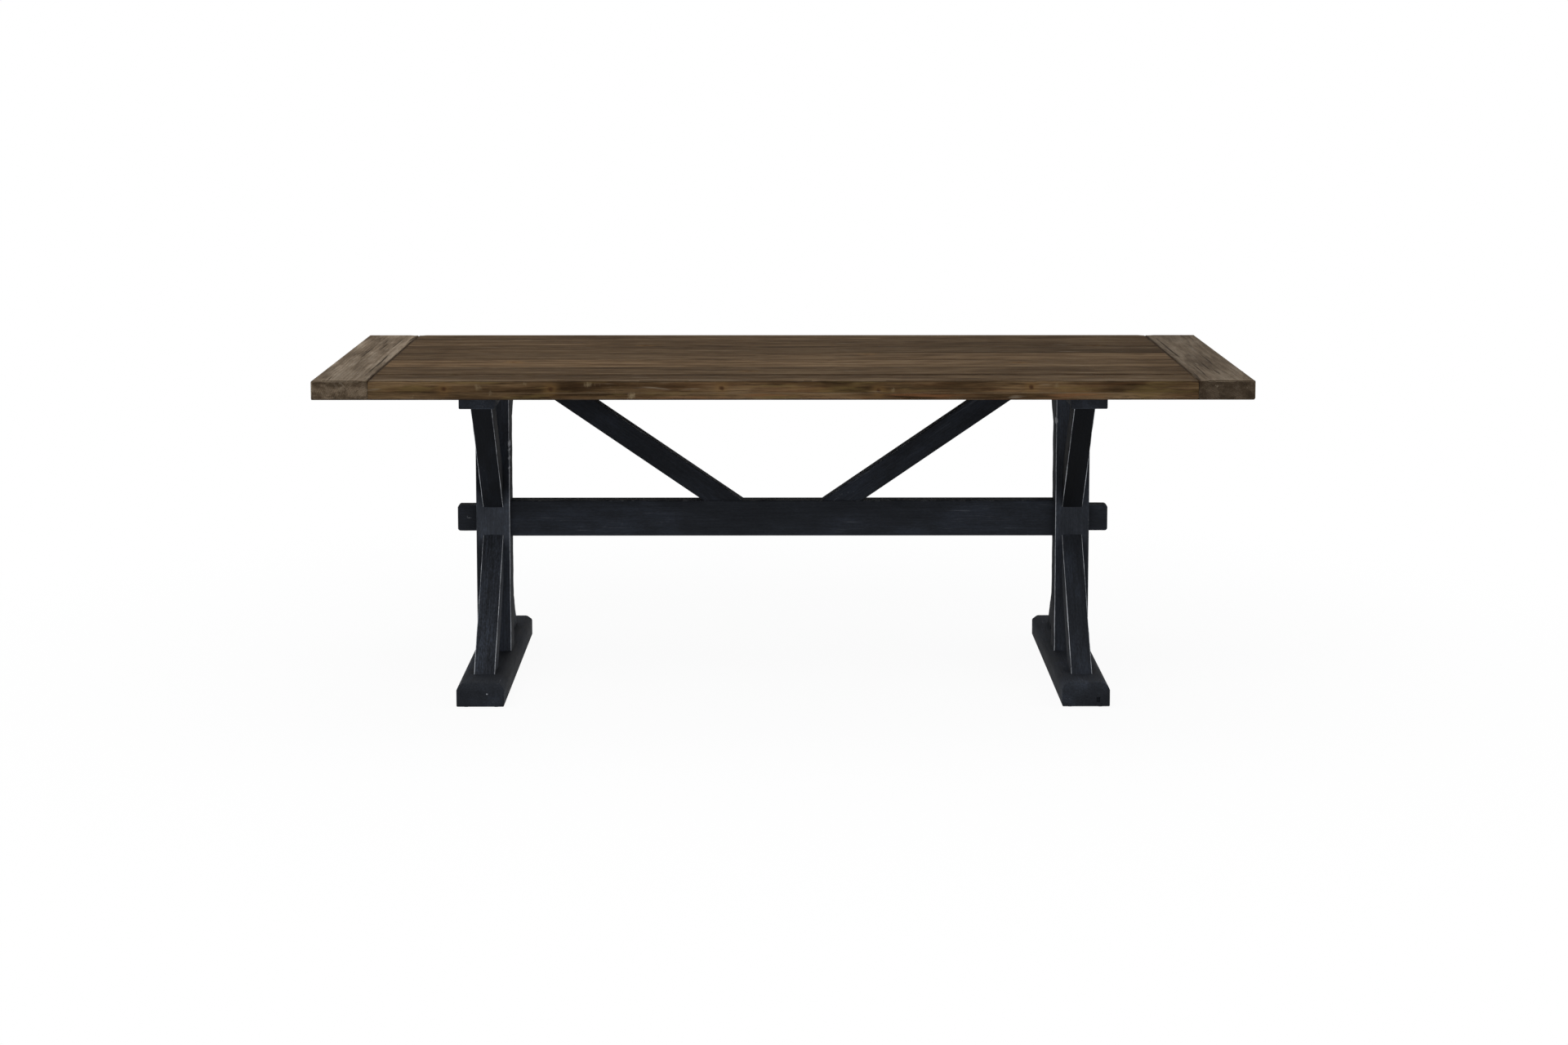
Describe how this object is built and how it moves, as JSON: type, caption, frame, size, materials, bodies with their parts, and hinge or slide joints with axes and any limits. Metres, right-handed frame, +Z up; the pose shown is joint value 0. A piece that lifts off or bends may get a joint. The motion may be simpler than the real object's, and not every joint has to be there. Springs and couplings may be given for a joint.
{
  "type": "extending dining table",
  "caption": "Plank-topped trestle dining table with X-braced black trestles, a through-tenon stretcher and end boards that pull out on wooden runners.",
  "frame": {"origin": "on the floor, below the middle of the closed table", "axes": "+X along the table to the right as seen from the front, +Y to the rear, +Z up"},
  "size_m": [2.134, 1, 0.775],
  "materials": {
    "top_wood": "wire-brushed grey-brown stain under a matt lacquer",
    "black_paint": "satin blue-black paint on wood, rubbed through at the arrises",
    "underframe_wood": "stained, unfinished underside timber",
    "runner_wood": "planed and waxed hardwood",
    "dowel_wood": "bare turned hardwood",
    "screw_steel": "zinc-plated steel",
    "glide_plastic": "black moulded plastic"
  },
  "bodies": {
    "table": {"batten_screws": "screw_steel", "brace_dowels": "dowel_wood", "centre_batten": "underframe_wood", "field_plank_1": "top_wood", "field_plank_2": "top_wood", "field_plank_3": "top_wood", "field_plank_4": "top_wood", "field_plank_5": "top_wood", "floor_glides": "glide_plastic", "frame_screws": "screw_steel", "front_edge_board": "top_wood", "left_brace_block": "underframe_wood", "left_cleat": "black_paint", "left_diagonal_brace": "black_paint", "left_end_batten": "underframe_wood", "left_foot": "black_paint", "left_front_lower_brace": "black_paint", "left_front_upper_brace": "black_paint", "left_post": "black_paint", "left_rear_lower_brace": "black_paint", "left_rear_upper_brace": "black_paint", "rear_edge_board": "top_wood", "right_brace_block": "underframe_wood", "right_cleat": "black_paint", "right_diagonal_brace": "black_paint", "right_end_batten": "underframe_wood", "right_foot": "black_paint", "right_front_lower_brace": "black_paint", "right_front_upper_brace": "black_paint", "right_post": "black_paint", "right_rear_lower_brace": "black_paint", "right_rear_upper_brace": "black_paint", "stretcher": "black_paint"},
    "left_end": {"left_alignment_dowels": "dowel_wood", "left_end_board": "top_wood", "left_front_runner": "runner_wood", "left_front_runner_stop": "runner_wood", "left_rear_runner": "runner_wood", "left_rear_runner_stop": "runner_wood", "left_runner_screws": "screw_steel"},
    "right_end": {"right_alignment_dowels": "dowel_wood", "right_end_board": "top_wood", "right_front_runner": "runner_wood", "right_front_runner_stop": "runner_wood", "right_rear_runner": "runner_wood", "right_rear_runner_stop": "runner_wood", "right_runner_screws": "screw_steel"}
  },
  "joints": [
    {"name": "left_end_slide", "type": "slide", "parent": "table", "child": "left_end", "axis": [-1, 0, 0], "range_m": [0, 0.457]},
    {"name": "right_end_slide", "type": "slide", "parent": "table", "child": "right_end", "axis": [1, 0, 0], "range_m": [0, 0.457]}
  ]
}
